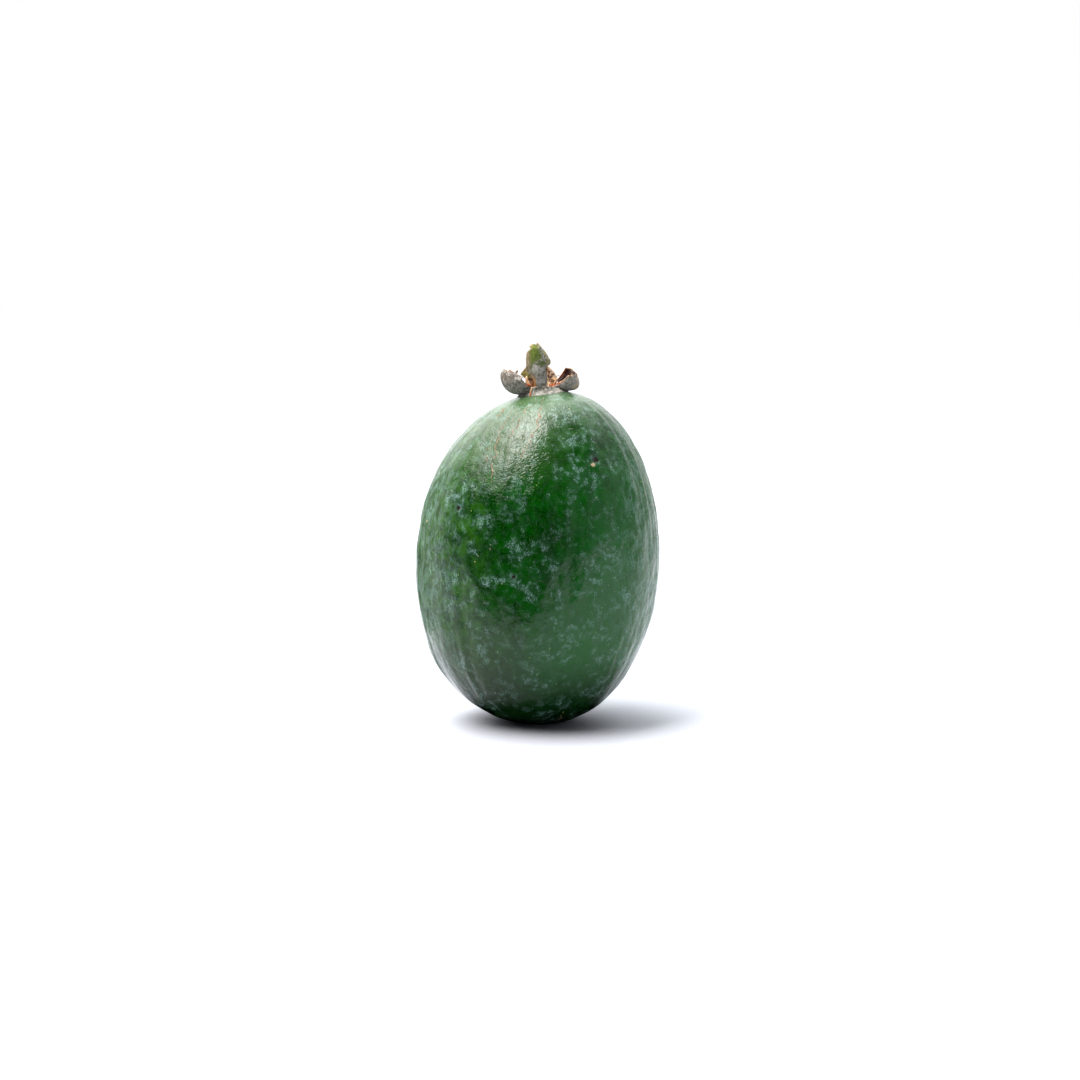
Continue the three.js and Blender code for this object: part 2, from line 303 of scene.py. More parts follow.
class FeijoaCalyxSettings(bpy.types.PropertyGroup):
    collar_height: measure("Collar height", "From the seat to the lip", 1.6)
    collar_radius: measure("Collar radius", "At the lip", 3.5)
    cup_depth: measure("Cup depth", "Hollow inside the collar", 1)
    sepal_thickness: measure("Sepal thickness", "At the middle of a sepal", 0.85)
    scrap_thickness: measure("Scrap thickness", "At the middle of a torn scrap", 0.3)
    style_radius: measure("Style radius", "Foot of the style's stub", 0.45)
    style_height: measure("Style height", "Length of the style's stub", 2.6)
    gap: measure("Gap", "Between the calyx and its seat", 0.02)
    hairs: IntProperty(name="Hairs", description="How many hairs the felt has", default=22000, min=0)
    hair_length: measure("Hair length", "Longest hair of the felt", 0.3)
    hair: tint("Hair", "The felt's pale hairs", 0.5, 0.465, 0.43)
    felt: tint("Felt", "Pale felt on the outside", 0.36, 0.335, 0.31)
    felt_dark: tint("Worn felt", "Where the felt is thin", 0.085, 0.088, 0.055)
    moss: tint("Moss", "Deep green where the felt has gone", 0.035, 0.05, 0.022)
    green: tint("Green", "Living green that still shows", 0.09, 0.125, 0.01)
    yellow: tint("Yellow", "Where the green has faded", 0.3, 0.27, 0.08)
    # Brown-olive colour, partly painted shade where the front sepal's edge folds back.
    olive: tint("Olive", "Brown-olive along one edge of the front sepal", 0.15, 0.11, 0.042)
    edge: tint("Edge", "Dry rim of a sepal", 0.55, 0.4, 0.22)
    edge_dark: tint("Dark edge", "Scorched rim of a sepal", 0.28, 0.11, 0.045)
    rust: tint("Rust", "Torn tissue at the roots", 0.47, 0.1, 0.015)
    withered: tint("Withered", "Felt that has browned at a sepal's end", 0.13, 0.098, 0.084)
    ember: tint("Ember", "Old torn tissue deep between the sepals", 0.15, 0.05, 0.004)
    amber: tint("Amber", "Stain at the front sepal's root", 0.36, 0.15, 0.015)
    # Painted light: the bright colour of thin tissue lit through from behind.
    painted_backlight: tint("Primrose", "Thin tissue that light shines through", 0.6, 0.66, 0.27)
    inside: tint("Inside", "Inner face of a sepal", 0.045, 0.014, 0.012)
    inside_pale: tint("Pale inside", "Inner face where it is golden", 0.38, 0.25, 0.13)
    inside_mauve: tint("Mauve inside", "Inner face where a bloom greys it", 0.215, 0.16, 0.142)
    stamen: tint("Stamen", "Dried stamens and the style's stub", 0.3, 0.19, 0.13)


class FeijoaStageSettings(bpy.types.PropertyGroup):
    distance: measure("Camera distance", "From the camera to the point it looks at", 700)
    elevation: FloatProperty(
        name="Camera elevation", description="Above the horizon", default=math.radians(8.5), subtype="ANGLE"
    )
    lens: number("Lens", "Focal length in millimetres", 126.7)
    target: FloatVectorProperty(
        name="Looks at", description="Point in the picture's middle",
        default=(0.0005, 0, 0.0336), unit="LENGTH",
    )
    floor_radius: measure("Floor radius", "Of the round studio floor", 3000)
    key: number("Key light", "Brightness of the soft light at the upper left", 25)
    overhead: number("Overhead light", "Brightness of the wide light above", 3.5)
    room: number("Room", "Brightness of the white walls", 0.7)


# ---- Meshes ----


def make_object(mesh, material, smooth=True):
    """An object with its mesh's name."""
    mesh.materials.append(material)
    mesh.polygons.foreach_set("use_smooth", [smooth] * len(mesh.polygons))
    made = bpy.data.objects.new(mesh.name, mesh)
    bpy.context.scene.collection.objects.link(made)
    return made


def add_piece(mesh, material, node=None):
    """A piece that rides on the fruit's body and stands for a node where one is named."""
    piece = make_object(mesh, material)
    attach(piece, BODY)
    if node:
        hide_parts(node)
    return piece


def new_mesh(name, points, faces, **shares):
    """A mesh with one float for each point under each name in shares."""
    mesh = bpy.data.meshes.new(name)
    mesh.from_pydata([tuple(p) for p in points], [], [tuple(f) for f in faces])
    for attribute, values in shares.items():
        floats = np.asarray(values, np.float32).ravel()
        mesh.attributes.new(attribute, "FLOAT", "POINT").data.foreach_set("value", floats)
    mesh.update()
    return mesh


def grid_faces(rows, columns, closed=False, start=0, flip=False):
    """Quads between rows of points. A closed grid joins its last column to its first."""
    faces = []
    for row in range(rows - 1):
        for column in range(columns if closed else columns - 1):
            a = start + row * columns + column
            b = start + row * columns + (column + 1) % columns
            face = (a, b, b + columns, a + columns)
            faces.append(face[::-1] if flip else face)
    return faces


def capped_rings(points, columns):
    """Rings of points closed at both ends by a fan round an added centre."""
    foot = len(points)
    faces = grid_faces(foot // columns, columns, closed=True)
    for column in range(columns):
        beside = (column + 1) % columns
        faces.append((foot, beside, column))
        faces.append((foot + 1, foot - columns + column, foot - columns + beside))
    return np.concatenate([points, [points[:columns].mean(0)], [points[-columns:].mean(0)]]), faces


def tube_faces(rings, sides, start):
    """Rings of points closed at both ends by a flat cap."""
    end = start + (rings - 1) * sides
    caps = [tuple(range(start, start + sides))[::-1], tuple(range(end, end + sides))]
    return grid_faces(rings, sides, closed=True, start=start) + caps


def unit(vectors):
    return vectors / np.linalg.norm(vectors, axis=-1, keepdims=True)


def placed(crown, points):
    return np.array([crown @ Vector(p) for p in points])


def turn_from(bearing, angle):
    """Angles as turns from a bearing in degrees, from -pi to pi."""
    return (angle - math.radians(bearing) + math.pi) % FULL_TURN - math.pi


def smooth_step(low, high, value):
    t = np.clip((value - low) / (high - low), 0, 1)
    return t * t * (3 - 2 * t)


def noise_at(points, size=1, offset=0.0):
    """Smooth noise from -1 to 1 at each point, with lumps of about that size."""
    shift = Vector((offset, -offset, 0.5 * offset))
    return np.array([noise.noise(Vector(p) / size + shift) for p in points])


def lumps(points, height, size, offset):
    """How far lumps stand out, from their height and size in millimetres."""
    return height * MM * noise_at(points, size * MM, offset)


# ---- The fruit's form ----


def ridge_height(ridges, angle, share):
    return sum(
        height * MM * np.cos(count * angle + turn + drift * share) for count, height, turn, drift in ridges
    )


class FruitForm:
    """The fruit's surface, at angles in radians and shares of its half length."""

    def __init__(self, body):
        self.body = body
        self.half_width = body.width / 2
        self.half_length = body.length / 2
        self.rest_share = self.share_at_radius(body.rest_radius, body.base_fullness)
        self.seat_share = self.share_at_radius(body.seat_radius, body.shoulder_fullness)
        self.belly_height = self.rest_share * self.half_length
        self.seat_height = self.belly_height + self.seat_share * self.half_length

    def share_at_radius(self, radius, fullness):
        return (1 - (radius / self.half_width) ** fullness) ** (1 / fullness)

    def radius(self, share):
        fullness = np.where(share < 0, self.body.base_fullness, self.body.shoulder_fullness)
        return self.half_width * (1 - np.abs(share) ** fullness) ** (1 / fullness)

    def middle(self, share):
        lower = self.body.base_lean * share**4 - 4 * self.body.base_sag * share**2 * (1 - share**2)
        upper = self.body.side_lean * share**2 * (3 - 2 * share)
        return np.where(share < 0, lower, upper)

    def rise(self, x, y, share):
        return np.where(share > 0, (self.body.slope_x * x + self.body.slope_y * y) * share**4, 0)

    def place(self, angle, share, radius, height):
        """Points of a ring of that radius and height, swollen by the main ridges."""
        swell = 1 + ridge_height(MAIN_RIDGES, angle, share) / self.half_width
        aside = radius * np.cos(angle) * swell
        back = radius * np.sin(angle) * swell * self.body.depth / self.body.width
        return np.stack([self.middle(share) + aside, back, height + self.rise(aside, back, share)], -1)

    def surface(self, angle, share):
        angle, share = np.broadcast_arrays(np.asarray(angle, float), np.asarray(share, float))
        return self.place(angle, share, self.radius(share), self.belly_height + share * self.half_length)

    def spot(self, bearing, share):
        return self.surface(math.radians(bearing), share)

    def normal(self, angle, share):
        step = 1e-3
        around = self.surface(angle + step, share) - self.surface(angle - step, share)
        upwards = self.surface(angle, share + step) - self.surface(angle, share - step)
        return unit(np.cross(around, upwards))

    def crown(self):
        """The calyx's own axes: its foot is at the origin and its axis is Z."""
        tilt = self.seat_share**4
        up = Vector((-self.body.slope_x * tilt, -self.body.slope_y * tilt, 1)).normalized()
        turn = Vector((0, 0, 1)).rotation_difference(up).to_matrix().to_4x4()
        foot = Vector((float(self.middle(self.seat_share)), 0, self.seat_height))
        return Matrix.Translation(foot) @ turn


def skin_relief(form, angle, share, points):
    """How far the skin stands out from the plain form: fine ridges, creases, undulations and pits."""
    ends = smooth_step(0.25, 0.85, np.abs(share))
    relief = ridge_height(FINE_RIDGES, angle, share) * (0.7 + 0.3 * ends)
    relief += sum(lumps(points, *each) for each in LUMPS)
    girth = np.stack([np.cos(angle), np.sin(angle), 0.45 * share], -1) * form.half_width
    crowding = (form.radius(share) / form.half_width) ** 1.5
    relief += crowding * lumps(girth, *GIRTH_LUMPS)
    height, size, offset = CREASES
    relief += height * MM * crowding * np.clip(1 - 3 * np.abs(noise_at(girth, size * MM, offset)), -1, 1)
    wander = noise_at(np.stack([share, share, angle], -1), 0.3, 5)
    for bearing, low, high, height, width in SINGLE_RIDGES:
        aside = (turn_from(bearing, angle) + 0.03 * wander) * form.radius(share) / (width * MM)
        length = smooth_step(low - 0.08, low + 0.1, share) * (1 - smooth_step(high - 0.1, high + 0.08, share))
        relief += height * MM * length * (np.exp(-(aside**2)) - 0.5 * np.exp(-((aside - 1.8) ** 2)))
    for bearing, height_share, radius, depth in PITS:
        away = np.linalg.norm(points - form.spot(bearing, height_share), axis=-1) / (radius * MM)
        relief -= depth * MM * np.exp(-(away**2))
    return relief * smooth_step(0, 0.1, 0.995 - np.abs(share))


def base_rings(form, angles, count=26):
    """Rings of the fruit's underside: a small cork boss in a recess, then the flat ring it stands on."""
    body = form.body
    scar, deep = body.scar_radius, body.scar_depth
    knots = (0, 0.7 * scar, scar, 1.3 * scar, 1.5 * scar, body.rest_radius)
    heights = (0.5 * deep, 0.6 * deep, deep, 0.2 * deep, 0, 0)
    rings = []
    for radius in np.linspace(0.02, 0.98, count) * body.rest_radius:
        height = float(np.interp(radius, knots, heights))
        share = np.full_like(angles, (height - form.belly_height) / form.half_length)
        rings.append(form.place(angles, share, radius, height))
    rings = np.concatenate(rings)
    cork = smooth_step(1.6 * scar, 1.2 * scar, np.linalg.norm(rings[:, :2], axis=-1))
    rings[:, 2] += 0.12 * MM * cork * np.abs(noise_at(rings, 0.5 * MM))
    return rings


def skin_mesh(form):
    body = form.body
    angles = np.linspace(0, FULL_TURN, body.segments, endpoint=False)
    turns = np.linspace(-math.asin(form.rest_share), math.asin(form.seat_share), body.rings + 1)
    angle, share = np.meshgrid(angles, np.sin(turns))
    side = form.surface(angle, share).reshape(-1, 3)
    relief = skin_relief(form, angle.ravel(), share.ravel(), side)
    side += form.normal(angle, share).reshape(-1, 3) * relief[:, None]
    side[:, 2] = np.maximum(side[:, 2], 0)
    seat_share = np.full_like(angles, form.seat_share)
    top = [form.place(angles, seat_share, part * body.seat_radius, form.seat_height) for part in (0.66, 0.33)]
    points = np.concatenate([base_rings(form, angles), side, *top])
    return new_mesh("fruit_skin", *capped_rings(points, body.segments))


def unbroken(bead, least=0.15):
    """Stretches of more than two steps over which a line is there."""
    runs = [[]]
    for i, size in enumerate(bead):
        if size > least:
            runs[-1].append(i)
        elif runs[-1]:
            runs.append([])
    return [run for run in runs if len(run) > 2]


def russet_mesh(form, draw):
    """Raised, broken corky lines that run down from the calyx end, in low welts half sunk in the skin."""
    profile = ((-0.5, -0.4), (-0.28, 0.18), (0, 0.3), (0.28, 0.18), (0.5, -0.4))
    step_length, wander_width, jitter_width = 0.12 * MM, 0.7 * MM, 0.25 * MM
    points, faces = [], []
    for (bearing, share), (end_bearing, end_share), broken in RUSSET_LINES:
        length = abs(end_share - share) * form.half_length * 1.15
        phase = draw.uniform(0, 100)
        t = np.linspace(0, 1, max(6, round(length / step_length)))
        run_on = length / (10 * MM)
        wander = noise_at([(phase, 9 * s, 0) for s in t])
        jitter = noise_at([(phase, 60 * s * run_on, 5) for s in t])
        gaps = noise_at([(phase, 5, 26 * s * run_on) for s in t])
        shares = share + (end_share - share) * t
        aside = (wander_width * wander + jitter_width * jitter) / np.maximum(form.radius(shares), 3 * MM)
        angles = np.radians(bearing + (end_bearing - bearing) * t) + aside
        line = form.surface(angles, shares)
        relief = skin_relief(form, angles, shares, line)
        normal = form.normal(angles, shares)
        across = unit(np.cross(normal, np.gradient(line, axis=0)))
        bead = np.clip(1.6 * (gaps + 0.75 - 1.1 * broken), 0, 1)
        bead *= np.sin(math.pi * np.clip(t, 0.03, 0.97)) ** 0.3
        bead *= 0.75 + 0.5 * np.array([draw.random() for _ in t])
        for run in unbroken(bead):
            faces += tube_faces(len(run), len(profile), len(points))
            for step, i in enumerate(run):
                taper = math.sin(math.pi * (step + 0.5) / len(run)) ** 0.4
                size = form.body.russet_width * bead[i] * taper
                for x, up in profile:
                    points.append(line[i] + across[i] * x * size + normal[i] * (relief[i] + up * size))
    return new_mesh("russet_lines", points, faces)


# ---- The calyx's form ----


def bezier(spine, t):
    """Points and unit tangents of a cubic spine at t."""
    a, b, c, d = (np.array(p) * MM for p in spine)
    t = t[:, None]
    point = a * (1 - t) ** 3 + 3 * b * t * (1 - t) ** 2 + 3 * c * t**2 * (1 - t) + d * t**3
    return point, unit(3 * ((b - a) * (1 - t) ** 2 + 2 * (c - b) * t * (1 - t) + (d - c) * t**2))


def blade_surface(blade, thickness, along, across, outwards):
    """Points of a blade. along runs from root to tip, across from edge to edge, and outwards from
    the inner face at -0.5 to the outer one at 0.5."""
    places, left, right = zip(*blade.outline)
    left, right = np.interp(along, places, left), np.interp(along, places, right)
    mean = (left + right) / 2
    curled = np.radians(blade.curl[0] + (blade.curl[1] - blade.curl[0]) * along)
    cup = 0.5 * blade.width * MM * mean / curled
    skin = cup + outwards * thickness * (1 - 0.25 * across**2)
    angle = across * curled * np.where(across < 0, left, right) / mean
    x, y = skin * np.sin(angle), -skin * np.cos(angle)
    turn = math.radians(blade.twist) * along
    aside = x * np.cos(turn) - y * np.sin(turn) + blade.lean * MM * along**2
    inwards = cup + x * np.sin(turn) + y * np.cos(turn)
    middle, tangent = bezier(blade.spine, along)
    rise = np.stack([-tangent[:, 1], tangent[:, 0]], -1) * (1 - blade.upright) + (0, blade.upright)
    out, up = (middle + unit(rise) * inwards[:, None]).T
    east, north = math.cos(math.radians(blade.bearing)), math.sin(math.radians(blade.bearing))
    return np.stack([out * east - aside * north, out * north + aside * east, up], -1)


def blade_mesh(blade, thickness, crown, seed, rows=84, columns=49):
    """A closed blade with a thin, ragged rim, lengthwise wrinkles and a worn tip."""
    along, across = np.meshgrid(np.linspace(0, 1, rows), np.linspace(-1, 1, columns), indexing="ij")
    along, across = along.ravel(), across.ravel()
    places = np.stack([across * 2.4, along * 8, np.full_like(along, seed * 11.0)], -1)
    ragged = noise_at(places, 0.9) + 0.5 * noise_at(places, 0.35, 3)
    wrinkle = noise_at(places * (1.6, 0.35, 1), 0.5, 9)
    pits = noise_at(places, 0.28, 4)
    rim = np.maximum(smooth_step(0.62, 1, np.abs(across)), smooth_step(0.9, 1, along))
    worn_along = along * (1 - 0.035 * (1 + ragged) * smooth_step(0.6, 1, along))
    worn_across = across * (1 + 0.09 * ragged * smooth_step(0.2, 0.5, along) * rim)
    sides = []
    for outwards, rough in ((0.5, 0.1 * wrinkle + 0.07 * pits), (-0.5, -0.12 * wrinkle + 0.04 * pits)):
        depth = outwards * (1 - 0.62 * rim**1.5) + rough * (1 - rim)
        sides.append(blade_surface(blade, thickness, worn_along, worn_across, depth))
    count = rows * columns
    faces = grid_faces(rows, columns, flip=True) + grid_faces(rows, columns, start=count)
    number = np.arange(count).reshape(rows, columns)
    border = [*number[0], *number[1:, -1], *number[-1, -2::-1], *number[-2:0:-1, 0]]
    for here, there in zip(border, border[1:] + border[:1]):
        faces.append((here, there, there + count, here + count))
    return new_mesh(
        blade.name,
        placed(crown, np.concatenate(sides)),
        faces,
        inner=np.repeat((0.0, 1.0), count),
        rim=np.tile(rim, 2),
        along=np.tile(along, 2),
        across=np.tile(across, 2),
        green=np.full(2 * count, blade.green),
        dried=np.full(2 * count, blade.dried),
    )


def collar_mesh(form, calyx, crown, segments=160, rows=58):
    """The collar: a felted ring that flares onto the skin, with a dark cup inside."""
    seat = form.body.seat_radius
    height, lip = calyx.collar_height, calyx.collar_radius
    cup_floor = height - calyx.cup_depth
    knots = np.array(
        (
            (1.07 * seat, -0.16 * height), (1.0 * seat, 0.06 * height), (0.5 * (seat + lip), 0.32 * height),
            (1.03 * lip, 0.6 * height), (lip, 0.9 * height), (0.93 * lip, height),
            (0.82 * lip, 0.95 * height), (0.7 * lip, 1.1 * cup_floor), (0.15 * lip, cup_floor),
        )
    )
    lip_knot = 5
    place = np.linspace(0, len(knots) - 1, rows)
    radii, heights = (np.interp(place, range(len(knots)), column) for column in knots.T)
    angle, radius = np.meshgrid(np.linspace(0, FULL_TURN, segments, endpoint=False), radii)
    rise = np.repeat(heights[:, None], segments, axis=1)
    joined = np.max([np.exp(-((turn_from(blade.bearing, angle) / 0.62) ** 2)) for blade in SEPALS], axis=0)
    lip_share = np.clip(rise / height, 0, 1) ** 2
    radius = radius + (0.55 * joined - 0.3 * (1 - joined)) * MM * lip_share
    rise = rise * (1 - 0.34 * (1 - joined) * lip_share)
    direction = np.stack([np.cos(angle), np.sin(angle), 0 * angle], -1).reshape(-1, 3)
    ring = np.stack([radius * np.cos(angle), radius * np.sin(angle), rise], -1).reshape(-1, 3)
    rough = lumps(ring, 0.16, 1.3, 2) + lumps(ring, 0.07, 0.4, 6)
    furrow = 0.09 * MM * np.cos(17 * angle.ravel() + 3 * noise_at(ring, 2 * MM))
    outside = np.repeat(smooth_step(0, 2, place) * (1 - smooth_step(lip_knot, lip_knot + 1, place)), segments)
    ring += direction * ((rough + furrow) * outside)[:, None]
    points, faces = capped_rings(placed(crown, ring), segments)
    inner = np.repeat(smooth_step(lip_knot - 0.4, lip_knot + 1, place), segments)
    rim = np.repeat(np.exp(-((place - lip_knot) ** 2) / 0.5), segments)
    none = np.zeros(len(points))
    return new_mesh(
        "calyx_collar",
        points,
        faces,
        inner=np.concatenate([inner, (0, 1)]),
        rim=np.concatenate([rim, (0, 0)]),
        along=none,
        across=none,
        green=none,
        dried=np.full(len(points), 0.3),
    )


def tube(points, faces, path, radii, sides=9):
    """A closed, tapered tube along a path, added to the lists."""
    faces += tube_faces(len(path), sides, len(points))
    path = np.array(path)
    tangent = unit(np.gradient(path, axis=0))
    side = unit(np.cross(tangent, (0.31, 0.95, 0.1)))
    other = np.cross(tangent, side)
    for i, radius in enumerate(radii):
        for turn in (FULL_TURN * k / sides for k in range(sides)):
            points.append(path[i] + radius * (math.cos(turn) * side[i] + math.sin(turn) * other[i]))


def style_mesh(calyx, crown):
    """The style's stub and the dried stamens that are left round it."""
    points, faces = [], []
    foot = calyx.collar_height - calyx.cup_depth - 0.4 * MM
    steps = np.linspace(0, 1, 14)
    path = [
        (0.12 * MM * math.sin(5 * t), 0.1 * MM * math.sin(4 * t), foot + t * calyx.style_height)
        for t in steps
    ]
    radii = calyx.style_radius * (1 - 0.4 * steps) * (1 + 0.08 * np.sin(21 * steps))
    radii[-1] *= 0.5
    tube(points, faces, placed(crown, path), radii)
    steps = np.linspace(0, 1, 22)
    for number, (root, bend, tip, knob) in enumerate(STAMENS):
        root, bend, tip = (Vector(p) * MM for p in (root, bend, tip))
        path = []
        for t in steps:
            kink = Vector(noise_at([(number * 3.7, t * 5, 1 + 4 * axis) for axis in range(3)]))
            path.append(root.lerp(bend, t).lerp(bend.lerp(tip, t), t) + kink * (0.1 * MM * t))
        radii = 0.11 * MM * (1 - 0.45 * steps) + knob * MM * np.exp(-(((steps - 0.955) / 0.035) ** 2))
        radii[-1] *= 0.4
        tube(points, faces, placed(crown, path), radii)
    return new_mesh("style_and_stamens", points, faces)


def hair_mesh(pieces, calyx, draw):
    """Felt: short tapered hairs that stand on the outer faces, each a closed spike."""
    inner_cover, width, sunk, scatter = 0.08, 0.017 * MM, 0.03 * MM, 0.05 * MM
    roots = []
    for mesh in (piece.data for piece in pieces):
        inner, along, green = (mesh.attributes[name].data for name in ("inner", "along", "green"))
        for face in mesh.polygons:
            corner = face.vertices[0]
            cover = 1 - 0.85 * green[corner].value * min(1, max(0, 2.5 * along[corner].value - 1.1))
            if inner[corner].value > 0.5:
                cover = inner_cover
            roots.append((face.area * cover, Vector(face.center), Vector(face.normal)))
    points, faces = [], []
    for _, centre, normal in draw.choices(roots, weights=[r[0] for r in roots], k=calyx.hairs):
        patchy = 0.6 + 0.6 * noise.noise(centre / (0.8 * MM))
        length = calyx.hair_length * draw.uniform(0.25, 1) * max(0.3, patchy)
        jog = Vector([draw.gauss(0, 1) for _ in range(3)])
        root = centre + scatter * jog
        lean = (normal + 0.55 * jog.normalized() - Vector((0, 0, 0.15))).normalized()
        side = lean.orthogonal().normalized()
        other = lean.cross(side)
        start = len(points)
        for turn in (FULL_TURN * k / 3 for k in range(3)):
            points.append(root - sunk * normal + width * (math.cos(turn) * side + math.sin(turn) * other))
        points.append(root + lean * length)
        faces += [(start, start + 2, start + 1)]
        faces += [(start + k, start + (k + 1) % 3, start + 3) for k in range(3)]
    return new_mesh("calyx_hairs", points, faces)


# ---- Shader helpers ----


class Nodes:
    """Adds nodes to a tree. Each value is a plain one or a socket to join."""

    def __init__(self, tree):
        self.tree = tree

    def set(self, socket, value):
        if isinstance(value, bpy.types.NodeSocket):
            self.tree.links.new(value, socket)
        else:
            socket.default_value = tuple(value) if hasattr(value, "__len__") else value

    def add(self, kind, inputs=None, **settings):
        node = self.tree.nodes.new("ShaderNode" + kind)
        for name, value in settings.items():
            setattr(node, name, value)
        for name, value in (inputs or {}).items():
            self.set(node.inputs[name], value)
        return node

    def find(self, kind):
        return next(node for node in self.tree.nodes if node.type == kind)

    def math(self, operation, *values, clamp=False):
        return self.add("Math", dict(enumerate(values)), operation=operation, use_clamp=clamp).outputs[0]

    def times(self, first, *others):
        for other in others:
            first = self.math("MULTIPLY", first, other)
        return first

    def fit(self, value, factor, shift):
        return self.math("MULTIPLY_ADD", value, factor, shift)

    def jittered(self, value, grain, amount):
        return self.fit(self.math("SUBTRACT", grain, 0.5), amount, value)

    def ramp(self, value, low, high):
        """0 below low and 1 above high, with a smooth step. It falls where low is above high."""
        ends = {"Value": value, "From Min": low, "From Max": high}
        return self.add("MapRange", ends, interpolation_type="SMOOTHSTEP").outputs[0]

    def noise(self, vector, scale, detail=3.0, roughness=0.55, distortion=0.0):
        names = ("Vector", "Scale", "Detail", "Roughness", "Distortion")
        values = (vector, scale, detail, roughness, distortion)
        return self.add("TexNoise", dict(zip(names, values))).outputs[0]

    def vector(self, operation, *values):
        return self.add("VectorMath", dict(enumerate(values)), operation=operation).outputs[0]

    def reading(self, operation, *values):
        """A vector node's number, such as a length."""
        return self.add("VectorMath", dict(enumerate(values)), operation=operation).outputs["Value"]

    def scaled(self, vector, factor):
        return self.add("VectorMath", {0: vector, "Scale": factor}, operation="SCALE").outputs[0]

    def axis(self, vector, name):
        return self.add("SeparateXYZ", {0: vector}).outputs[name]

    def attribute(self, name):
        return self.add("Attribute", attribute_name=name).outputs["Fac"]

    def place(self):
        """The place on the object, in millimetres."""
        return self.scaled(self.add("TexCoord").outputs["Object"], 1 / MM)

    def mix(self, share, first, second):
        return self.add("Mix", {0: share, 6: first, 7: second}, data_type="RGBA").outputs[2]

    def layered(self, colour, *layers):
        """A colour with others over it, each by the product of the shares that follow it."""
        for layer, *shares in layers:
            colour = self.mix(self.times(*shares), colour, layer)
        return colour

    def bump(self, height, distance):
        return self.add("Bump", {"Height": height, "Distance": distance, "Strength": 1.0}).outputs[0]

    def group(self, name, **inputs):
        return self.add("Group", inputs, node_tree=shader_group(name)).outputs

    def patches(self, vector, size, grain, cover, soft):
        return self.group("Patches", Vector=vector, Size=size, Grain=grain, Cover=cover, Soft=soft)["Mask"]

    def spot(self, vector, form, bearing, share, radius):
        return self.group("Spot", Vector=vector, Centre=form.spot(bearing, share) / MM, Radius=radius)


def build_patches(nodes, given, result):
    """Irregular patches with grainy edges: Mask is 1 inside them."""
    coarse = nodes.noise(given["Vector"], nodes.math("DIVIDE", 1.0, given["Size"]), 2.0, 0.5, 0.3)
    fine = nodes.noise(given["Vector"], nodes.math("DIVIDE", 1.0, given["Grain"]), 1.0, 0.5)
    edge = nodes.fit(given["Cover"], -0.34, 0.67)
    low = nodes.math("SUBTRACT", edge, given["Soft"])
    high = nodes.math("ADD", edge, given["Soft"])
    grains = nodes.fit(nodes.ramp(fine, 0.36, 0.6), 0.75, 0.25)
    blend = nodes.ramp(nodes.jittered(coarse, fine, 0.16), low, high)
    nodes.set(result["Mask"], nodes.times(blend, grains))


def build_pebbles(nodes, given, result):
    """Small rounded pebbles with fine grain on them, as a height from 0 to about 1."""
    fine = nodes.math("DIVIDE", 1.0, given["Grain"])
    coarse = nodes.math("DIVIDE", 1.0, given["Size"])
    wobble = nodes.add("TexNoise", {"Vector": given["Vector"], "Scale": coarse, "Detail": 2.0})
    bent = nodes.vector("MULTIPLY_ADD", wobble.outputs["Color"], (0.9, 0.9, 0.9), given["Vector"])
    cells = nodes.add("TexVoronoi", {"Vector": bent, "Scale": coarse, "Smoothness": 0.5}, feature="SMOOTH_F1")
    round_tops = nodes.math("SUBTRACT", 1.0, nodes.math("POWER", cells.outputs["Distance"], 1.6))
    nodes.set(result["Height"], nodes.fit(nodes.noise(given["Vector"], fine, 0.0), 0.28, round_tops))


def build_spot(nodes, given, result):
    """A ragged round spot: Core is its inside and Rim the ring round it."""
    away = nodes.reading("DISTANCE", given["Vector"], given["Centre"])
    share = nodes.math("DIVIDE", away, given["Radius"])
    share = nodes.jittered(share, nodes.noise(given["Vector"], 3.2, 2.0), 1.6)
    core = nodes.ramp(share, 1.1, 0.7)
    nodes.set(result["Core"], core)
    nodes.set(result["Rim"], nodes.math("SUBTRACT", nodes.ramp(share, 2.3, 1.3), core, clamp=True))


# Builder, inputs and outputs. An input without a default is a vector, and all others are floats.
GROUPS = {
    "Patches": (
        build_patches, {"Vector": None, "Size": 3.0, "Grain": 0.3, "Cover": 0.5, "Soft": 0.1}, ("Mask",)
    ),
    "Pebbles": (build_pebbles, {"Vector": None, "Size": 1.0, "Grain": 0.25}, ("Height",)),
    "Spot": (build_spot, {"Vector": None, "Centre": None, "Radius": 0.4}, ("Core", "Rim")),
}


def shader_group(name):
    """The node group of that name, built when it is first asked for."""
    known = bpy.data.node_groups.get(name)
    if known:
        return known
    build, inputs, outputs = GROUPS[name]
    tree = bpy.data.node_groups.new(name, "ShaderNodeTree")
    for socket, default in inputs.items():
        kind = "NodeSocketVector" if default is None else "NodeSocketFloat"
        made = tree.interface.new_socket(name=socket, in_out="INPUT", socket_type=kind)
        if default is not None:
            made.default_value = default
    for socket in outputs:
        tree.interface.new_socket(name=socket, in_out="OUTPUT", socket_type="NodeSocketFloat")
    given = tree.nodes.new("NodeGroupInput").outputs
    result = tree.nodes.new("NodeGroupOutput").inputs
    build(Nodes(tree), given, result)
    return tree


def new_material(name, **shader_values):
    """A Principled material with its plain values set, its nodes, and its shader's inputs."""
    material = bpy.data.materials.new(name)
    material.use_nodes = True
    nodes = Nodes(material.node_tree)
    sockets = nodes.find("BSDF_PRINCIPLED").inputs
    for socket, value in shader_values.items():
        nodes.set(sockets[socket.replace("_", " ")], value)
    return material, nodes, sockets


# ---- Materials ----


